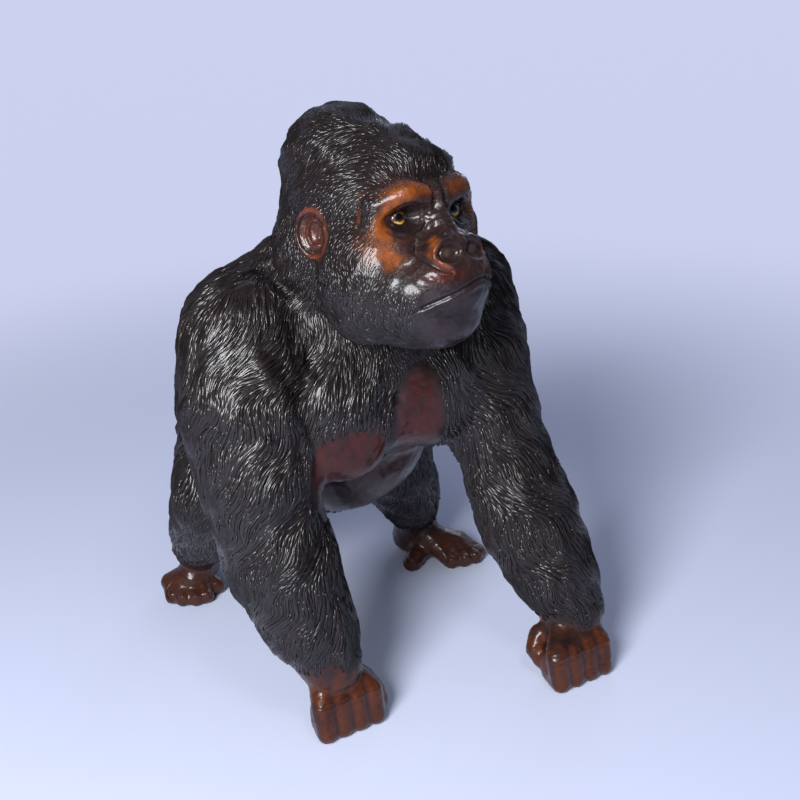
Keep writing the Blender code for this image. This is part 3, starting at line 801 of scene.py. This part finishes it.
def stain_and_painted_shade_at(points):
    """The stain and the painted shade at each point, as linear red, green and blue."""
    at = in_head(points)
    side, up = -np.abs(at[:, 0]), at[:, 2]
    ragged = waves(points, 14, 31)
    worn = waves(points, 7, 32)
    front = step_up(-at[:, 1], 44, 57)
    colours = np.tile(BLACK_BROWN, (len(points), 1))
    colours = blend_in(colours, "skin", step_up(bare_depth(points) + 2 * ragged, -1, 7))

    def egg(x, y, z, a, b, c, soft=0.35):
        share = np.linalg.norm((np.c_[-side, at[:, 1], up] - (x, y, z)) / (a, b, c), axis=1)
        return step_up(1 - share + 0.12 * ragged, -0.02, soft)

    colours = blend_in(colours, "lip", egg(0, -95, -72, 50, 50, 34, 0.3) * front)
    colours = blend_in(colours, "red brown", 0.85 * egg(20, -106, -40, 22, 24, 8, 0.6))
    patch = band_depth(side, up, PATCH) + 1.6 * ragged
    # Painted shade: on the head's far side, x above zero, the rubbed colours keep only 0.42 of their
    # share.
    near = np.where(at[:, 0] < 0, 1.0, 0.42)
    colours = blend_in(colours, "warm brown", 0.9 * step_up(patch, -6, 2) * front * near)
    worn_through = (0.86 + 0.14 * worn) * step_up(patch, -2.0, 4.5)
    colours = blend_in(colours, "rubbed orange", worn_through * front * near)
    fold = band_depth(side, up, ((-56, -6, 1.5), (-44, -13, 2.2), (-30, -10, 1.5)))
    colours = blend_in(colours, "warm brown", 0.55 * step_up(fold, -2.5, 1.5) * front)
    # Painted shade: the socket round each eye, under the brow, is darkened almost to black.
    colours = blend_in(colours, "pooled_stain_and_painted_shade", 0.8 * egg(31, -78, 6, 16.5, 30, 12.5, 0.25))
    bead = egg(NOSTRIL[0], -108, NOSTRIL[1], 7.5, 12, 5.2, 0.4)
    # The nose wings are rubbed orange, and on the far side they too are weakened as painted shade.
    wing = step_up(band_depth(side, up, WING), -1.6, 1.2) * step_up(-at[:, 1], 95, 100)
    colours = blend_in(colours, "rubbed orange", 0.8 * wing * near)
    colours = blend_in(colours, "nostril", bead)
    ear = np.hypot((at[:, 1] + 2) / 17.5, (up - 3) / 22.5)
    on_ear = step_up(ear_depth(points), -1, 4)
    colours = blend_in(colours, "inner ear", on_ear)
    # Painted shade: a dark ring in the crease between the ear's rim and its bowl.
    colours = blend_in(colours, "pooled_stain_and_painted_shade", 0.7 * on_ear * step_up(0.12 - np.abs(ear - 0.66), 0.0, 0.08))
    colours = blend_in(colours, "ear", 0.9 * on_ear * step_up(ear, 0.76, 0.9))
    chest = step_up(chest_depth(points), 0, 9) * step_up(points[:, 2], 196, 232)
    colours = blend_in(colours, "red brown", chest * (0.72 + 0.28 * ragged))
    hand = step_up(hand_depth(points) + 8 * ragged, 4, 34) * (0.78 + 0.22 * worn)
    colours = blend_in(colours, "amber", hand * (1 - 0.7 * between_fingers(points)))
    foot = step_up(foot_depth(points), 0, 22) * (0.85 + 0.15 * ragged)
    return blend_in(colours, "foot", foot)


def between_fingers(points):
    """1 in the valleys between the fingers, where the amber is darkened, and 0 on the fingers."""
    hand_x = np.where(points[:, 0] < 0, KNUCKLES[0][0], KNUCKLES[1][0])
    place = np.abs(((points[:, 0] - hand_x) / KNUCKLES[0][2]) % 1 - 0.5)
    return step_up(place, 0.3, 0.48)


def paint(mesh, colours):
    layer = mesh.color_attributes.new("stain", "FLOAT_COLOR", "POINT")
    layer.data.foreach_set("color", np.c_[colours, np.ones(len(colours))].astype(np.float32).ravel())


# %% [markdown]
# ## Cutting the coat, region by region
# The coat is long on the back, the shoulders and the arms, shorter on the chest and the legs, and fine on
# the head. On the sides of the face only short shallow strokes are left. It is cut in regions, each one
# piece of the scene, so that no piece grows too heavy.

# %% Cut the coat
HEAD_EGG = (((0.0, 0.0, 0.0), (88.0, 122.0, 132.0)),)
SMOOTH_EGGS = (  # the chin, the two sockets and the nose, in the head's frame: centre, radii
    ((0.0, -95.0, -74.0), (34.0, 50.0, 30.0)),
    ((-31.0, -78.0, 4.0), (20.0, 30.0, 15.0)),
    ((31.0, -78.0, 4.0), (20.0, 30.0, 15.0)),
    ((0.0, -105.0, -22.0), (31.0, 40.0, 20.0)),
)


def on_head(points):
    return in_eggs(in_head(points), HEAD_EGG)


def furred(points):
    return -1.5 - bare_depth(points)


def zone_head(points):
    return np.minimum(furred(points), on_head(points))


def zone_body(test):
    def zone(points):
        keep = np.minimum(furred(points), 0.5 - on_head(points))
        return np.where(test(points), keep, -1)
    return zone


def right_arm(p):
    return (p[:, 0] < -78) & (p[:, 1] < 5) & (p[:, 2] > 40)


def left_arm(p):
    return (p[:, 0] > 52) & (p[:, 1] < 5) & (p[:, 2] > 40)


def trunk(p):
    return ~right_arm(p) & ~left_arm(p) & ~legs(p)


def legs(p):
    return (p[:, 2] < 190) & (p[:, 1] > 5)


def zone_face(points):
    """The sides of the face, where the tool has left strokes shorter and finer than the coat."""
    depth = face_depth(points)
    return np.minimum(np.minimum(depth + 2, 26 - depth), -in_eggs(in_head(points), SMOOTH_EGGS))


COAT = (  # piece, where, locks at most, spacing, length, width and height of a lock
    ("hair_head", zone_head, 8200, 2.1, 18.0, 2.3, 1.3),
    ("hair_face", zone_face, 3800, 1.7, 8.0, 1.2, 0.5),
    ("hair_right_arm", zone_body(right_arm), 5600, 2.8, 26.0, 3.2, 1.9),
    ("hair_left_arm", zone_body(left_arm), 5300, 2.9, 26.0, 3.2, 1.9),
    ("hair_trunk", zone_body(trunk), 5600, 3.6, 28.0, 3.8, 2.0),
    ("hair_legs", zone_body(legs), 4300, 3.4, 22.0, 3.2, 1.6),
)
coat = []
for name, zone, most, spacing, length, width, height in COAT:
    share = 1.0
    places = roots(int(most * share), spacing, zone)
    points, faces = locks(places, length, width, height)
    mesh = bpy.data.meshes.new(name)
    mesh.from_pydata((points * MM).tolist(), [], faces)
    mesh.shade_smooth()
    colours = stain_and_painted_shade_at(places)
    if name != "hair_face":
        colours = 0.25 * colours + 0.75 * BLACK_BROWN
    shades = random.uniform(0.6, 1.35, len(places))
    paint(mesh, np.repeat(colours * shades[:, None], LOCK_POINTS, axis=0))
    coat.append(object_of(name, mesh))
    print(name, "has", len(places), "locks")

# %% [markdown]
# ## Sums with shader sockets
# A finish is arithmetic on patterns. This small class wraps a socket, so that the sums can be written as
# they are said: `0.3 + 0.2 * grain` adds the two Math nodes. Every other node comes from its method
# `node`, which sets the node's settings first and then the values or links of its sockets.


# %% Let Python do the shader maths
class Wire:
    def __init__(self, tree, socket=None):
        self.tree = tree
        self.socket = socket

    def node(self, kind, output=0, settings=(), **inputs):
        made = self.tree.nodes.new(kind)
        for name, value in dict(settings).items():
            if name == "stops":
                for _ in value[2:]:
                    made.color_ramp.elements.new(0.5)
                for stop, (place, colour) in zip(made.color_ramp.elements, value):
                    stop.position, stop.color = place, (*colour, 1.0)
            else:
                setattr(made, name, value)
        for name, value in inputs.items():
            key = int(name[1:]) if name[0] == "i" and name[1:].isdigit() else name.replace("_", " ")
            if isinstance(value, Wire):
                self.tree.links.new(value.socket, made.inputs[key])
            else:
                made.inputs[key].default_value = value
        return Wire(self.tree, made.outputs[output])

    def maths(self, operation, first, second):
        return self.node("ShaderNodeMath", settings={"operation": operation}, i0=first, i1=second)

    def __add__(self, other):
        return self.maths("ADD", self, other)

    def __sub__(self, other):
        return self.maths("SUBTRACT", self, other)

    def __rsub__(self, other):
        return self.maths("SUBTRACT", other, self)

    def __mul__(self, other):
        return self.maths("MULTIPLY", self, other)

    def __truediv__(self, other):
        return self.maths("DIVIDE", self, other)

    __radd__ = __add__
    __rmul__ = __mul__

    def ramp(self, low, high):
        settings = {"interpolation_type": "SMOOTHSTEP"}
        return self.node("ShaderNodeMapRange", settings=settings, Value=self, From_Min=low, From_Max=high)

    def mix(self, share, first, second):
        return self.node(
            "ShaderNodeMix", output=2, settings={"data_type": "RGBA"}, i0=share, i6=first, i7=second
        )


def new_finish(name):
    """A fresh material: the start of its wires, and its shader."""
    made = bpy.data.materials.new(name)
    made.use_nodes = True
    return made, Wire(made.node_tree), made.node_tree.nodes["Principled BSDF"]


def plug(wire, shader, socket):
    wire.tree.links.new(wire.socket, shader.inputs[socket])


# %% [markdown]
# ## Lacquered skin
# Bare wood shows its stain through a clear lacquer. The stain has pooled unevenly, which a soft noise
# gives, and fine tool marks lie under the gloss: short scratches on the rubbed places and an orange peel
# in the lacquer itself. The marks are a Bump, since they are too fine for geometry, and the gloss comes
# from the shader's coat.

# %% Finish the skin
POOLED = (0.34, 0.27, 0.24)  # what pooled stain leaves of the red, the green and the blue
COAT_ROUGHNESS = 0.13


def lacquer(name, roughness, spread, shine, coat, marks, depth):
    material, start, shader = new_finish(name)
    place = start.node("ShaderNodeTexCoord", output="Object")
    stain = start.node("ShaderNodeAttribute", output="Color", settings={"attribute_name": "stain"})
    pooled = start.node("ShaderNodeTexNoise", Vector=place, Scale=38.0, Detail=5.0, Roughness=0.6)
    speckle = start.node("ShaderNodeTexNoise", Vector=place, Scale=330.0, Detail=3.0, Roughness=0.6)
    pooled_stain_and_painted_shade = start.node(
        "ShaderNodeVectorMath", settings={"operation": "MULTIPLY"}, i0=stain, i1=POOLED
    )
    share = (0.65 * pooled.ramp(0.42, 0.72) + 0.45 * speckle.ramp(0.5, 0.75)).ramp(0.0, 1.1)
    plug(start.mix(share, stain, pooled_stain_and_painted_shade), shader, "Base Color")
    plug(roughness + spread * pooled.ramp(0.3, 0.75), shader, "Roughness")
    strokes = start.node("ShaderNodeTexNoise", Vector=place, Scale=marks, Detail=4.0, Roughness=0.65)
    peel = start.node("ShaderNodeTexNoise", Vector=place, Scale=900.0, Detail=2.0)
    bump = start.node("ShaderNodeBump", Strength=1.0, Distance=depth * MM, Height=strokes + 0.25 * peel)
    plug(bump, shader, "Normal")
    shader.inputs["Coat Weight"].default_value = coat
    shader.inputs["Coat Roughness"].default_value = COAT_ROUGHNESS
    shader.inputs["Specular IOR Level"].default_value = shine
    return material


skin_finish = lacquer("lacquered skin", 0.25, 0.12, 0.16, 0.26, 240.0, 0.4)
hair_finish = lacquer("lacquered hair", 0.30, 0.12, 0.36, 0.35, 420.0, 0.06)

skin.name = "carved_skin"
skin.shade_smooth()
skin.materials.clear()
skin.materials.append(skin_finish)
paint(skin, stain_and_painted_shade_at(skin_points))
skin_piece = object_of("carved_skin", skin)
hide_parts("gorilla_carving")
for piece in coat:
    piece.data.materials.append(hair_finish)
for piece in (skin_piece, *coat):
    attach(piece, "root")
print("stained", 1 + len(coat), "pieces")

# %% [markdown]
# ## The glass eyes
# Each eye is a ball of glass with a clear dome over an amber iris. It is a little wider than the plain
# ball of the solid and sits about 1.3 mm from it, so that it fills the almond of its lids. The ball
# bulges at the iris, and the colours are rings round the way it looks: a black pupil, amber streaks and
# brown beyond. Light that enters such a dome from above gathers on the lower side of the iris, and that
# is painted into the colour: painted light makes the lower side pale amber, and painted shade leaves the
# upper side dark brown.

# %% Blow the eyes
EYE_LOOK = Vector((-0.2, -0.98, 0.04))  # in the head's frame
PUPIL, IRIS, DOME = 19.0, 36.0, 40.0  # half angles in degrees
BULGE = 0.04


def eye_finish():
    material, start, shader = new_finish("amber glass eye")
    place = start.node("ShaderNodeTexCoord", output="Object")
    way = start.node("ShaderNodeVectorMath", settings={"operation": "NORMALIZE"}, i0=place)
    parts = start.node("ShaderNodeSeparateXYZ", Vector=way)
    outward = Wire(start.tree, parts.socket.node.outputs["Z"])
    upward = Wire(start.tree, parts.socket.node.outputs["Y"])
    angle = start.maths("ARCCOSINE", outward, 0.0) * (180 / math.pi)
    streaks = start.node("ShaderNodeTexNoise", Vector=place, Scale=620.0, Detail=3.0)
    ring = (angle + 5 * (streaks - 0.5)).ramp(PUPIL - 2, PUPIL + 2)
    iris_side = (angle + 4 * (streaks - 0.5)).ramp(IRIS - 5, IRIS + 2)
    # Painted light and shade: pale amber on the iris's lower side, dark brown on its upper side.
    painted_glow = (0 - upward).ramp(0.16, 0.44)
    amber = start.mix(painted_glow, (0.045, 0.022, 0.010, 1), (0.85, 0.43, 0.05, 1))
    streaked = start.mix(streaks.ramp(0.4, 0.7) * 0.5, amber, (0.20, 0.07, 0.01, 1))
    ringed = start.mix(iris_side, streaked, (0.085, 0.046, 0.028, 1))
    plug(start.mix(ring, (0.002, 0.002, 0.002, 1), ringed), shader, "Base Color")
    shader.inputs["Roughness"].default_value = 0.25
    shader.inputs["Coat Weight"].default_value = 1.0
    shader.inputs["Coat Roughness"].default_value = 0.02
    return material


def glass_eye(name, centre, finish):
    shape = bmesh.new()
    bmesh.ops.create_uvsphere(shape, u_segments=64, v_segments=40, radius=GLASS_RADIUS * MM)
    for vert in shape.verts:
        angle = math.degrees(vert.co.angle(Vector((0, 0, 1))))
        bulge = max(0.0, 1 - (angle / DOME) ** 2)
        vert.co *= 1 + BULGE * bulge
    mesh = bpy.data.meshes.new(name)
    shape.to_mesh(mesh)
    shape.free()
    mesh.shade_smooth()
    mesh.materials.append(finish)
    eye = object_of(name, mesh)
    look = (head_axes @ EYE_LOOK).normalized()
    eye.rotation_euler = look.to_track_quat("Z", "Y").to_euler()
    eye.location = centre * MM
    return eye


glass = eye_finish()
for node, side in (("right_eye", -1), ("left_eye", 1)):
    centre = HEAD @ Vector((side * GLASS_PLACE.x, GLASS_PLACE.y, GLASS_PLACE.z))
    eye = glass_eye("glass_" + node, centre, glass)
    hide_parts(node)
    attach(eye, "root")
print("set two glass eyes")

# %% [markdown]
# ## Stage, light and camera
# The carving stands on a plain pale floor that fades into a pale backdrop. Near the carving the lamps
# light the floor, so that it takes the shadow, and farther off it glows evenly for the camera alone. One
# lamp stands high on the viewer's left and draws the crisp lights on the lacquer, a much weaker one above
# the front softens the shade under the head, and a faint one behind edges the far side. The backdrop is
# mirrored only where the wood turns away from the camera, because the room behind the camera is dim. The
# camera has the photograph's angle, found from the ground plane and from the limbs that stand on it.

# %% Build the stage
PALE = (0.585, 0.625, 0.845, 1.0)
GLOW_FROM, GLOW_FULL = 0.45, 1.5
LOOK_AWAY = (0.5, 0.866, 0.0)


def plain_floor():
    material, start, shader = new_finish("pale floor")
    place = start.node("ShaderNodeTexCoord", output="Object")
    far = start.node("ShaderNodeVectorMath", output="Value", settings={"operation": "LENGTH"}, i0=place)
    far = far.ramp(GLOW_FROM, GLOW_FULL)
    seen = start.node("ShaderNodeLightPath", output="Is Camera Ray")
    plug(start.mix(far * seen, (0.60, 0.645, 0.80, 1), (0, 0, 0, 1)), shader, "Base Color")
    plug(start.mix(far * seen, (0, 0, 0, 1), PALE), shader, "Emission Color")
    shader.inputs["Emission Strength"].default_value = 1.0
    shader.inputs["Roughness"].default_value = 0.9
    shader.inputs["Specular IOR Level"].default_value = 0.1
    return material


shape = bmesh.new()
bmesh.ops.create_grid(shape, x_segments=2, y_segments=2, size=30.0)
mesh = bpy.data.meshes.new("floor")
shape.to_mesh(mesh)
shape.free()
mesh.materials.append(plain_floor())
floor = object_of("floor", mesh)
floor.location.z = -0.0002
floor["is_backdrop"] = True

ROOM_LIGHT, ROOM_WHITE, ROOM_DIM = 0.30, 1.0, 0.03
world = bpy.data.worlds.new("pale room")
bpy.context.scene.world = world
world.use_nodes = True
room = Wire(world.node_tree)
backdrop = world.node_tree.nodes["Background"]
backdrop.inputs["Color"].default_value = PALE
rays = room.node("ShaderNodeLightPath", output="Is Camera Ray")
glossy = Wire(room.tree, rays.socket.node.outputs["Is Glossy Ray"])
seen = room.maths("MAXIMUM", rays, Wire(room.tree, rays.socket.node.outputs["Is Transmission Ray"]))
way = room.node("ShaderNodeTexCoord", output="Generated")
facing = room.node(
    "ShaderNodeVectorMath", output="Value", settings={"operation": "DOT_PRODUCT"}, i0=way, i1=LOOK_AWAY
)
mirrored = ROOM_DIM + (ROOM_WHITE - ROOM_DIM) * facing.ramp(-0.1, 0.7)
strength = ROOM_LIGHT + (ROOM_WHITE - ROOM_LIGHT) * seen + (mirrored - ROOM_LIGHT) * glossy
plug(strength, backdrop, "Strength")

LAMPS = (  # name, place in metres, where it points, size, watts, colour
    ("key lamp", (-1.5, -1.22, 1.3), (-0.02, -0.05, 0.32), 0.9, 78.0, (0.96, 0.97, 1.0)),
    ("front lamp", (-0.25, -1.35, 1.9), (0.0, -0.1, 0.35), 0.5, 5.0, (0.95, 0.97, 1.0)),
    ("rim lamp", (1.1, 0.9, 0.7), (0.0, 0.0, 0.35), 0.6, 2.0, (0.72, 0.82, 1.0)),
)
for name, place, target, size, watts, colour in LAMPS:
    light = bpy.data.lights.new(name, "AREA")
    light.shape = "DISK"
    light.size = size
    light.energy = watts
    light.color = colour
    lamp = bpy.data.objects.new(name, light)
    lamp.location = place
    lamp.rotation_euler = (Vector(target) - Vector(place)).to_track_quat("-Z", "Y").to_euler()
    bpy.context.scene.collection.objects.link(lamp)

# %% Set the camera
CAMERA_PLACE = Vector((-0.5805, -1.1129, 0.778))
CAMERA_WAY = Vector((0.4613, 0.7989, -0.3859)).normalized()
CAMERA_ROLL = math.radians(-3.84)
CAMERA_LENS = 63.0

level = CAMERA_WAY.cross(Vector((0, 0, 1))).normalized()
upright = level.cross(CAMERA_WAY)
across = level * math.cos(CAMERA_ROLL) + upright * math.sin(CAMERA_ROLL)
up = upright * math.cos(CAMERA_ROLL) - level * math.sin(CAMERA_ROLL)
camera = bpy.data.objects.new("camera", bpy.data.cameras.new("camera"))
turned = Matrix((across, up, -CAMERA_WAY)).transposed().to_4x4()
camera.matrix_world = Matrix.Translation(CAMERA_PLACE) @ turned
camera.data.lens = CAMERA_LENS
camera.data.sensor_width = 36.0
bpy.context.scene.collection.objects.link(camera)
bpy.context.scene.camera = camera
bpy.context.scene.view_settings.view_transform = "Standard"

# %% Write the sizes and finish
low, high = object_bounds()
print("the dressed carving is", [round((b - a) / MM) for a, b in zip(low, high)], "mm")
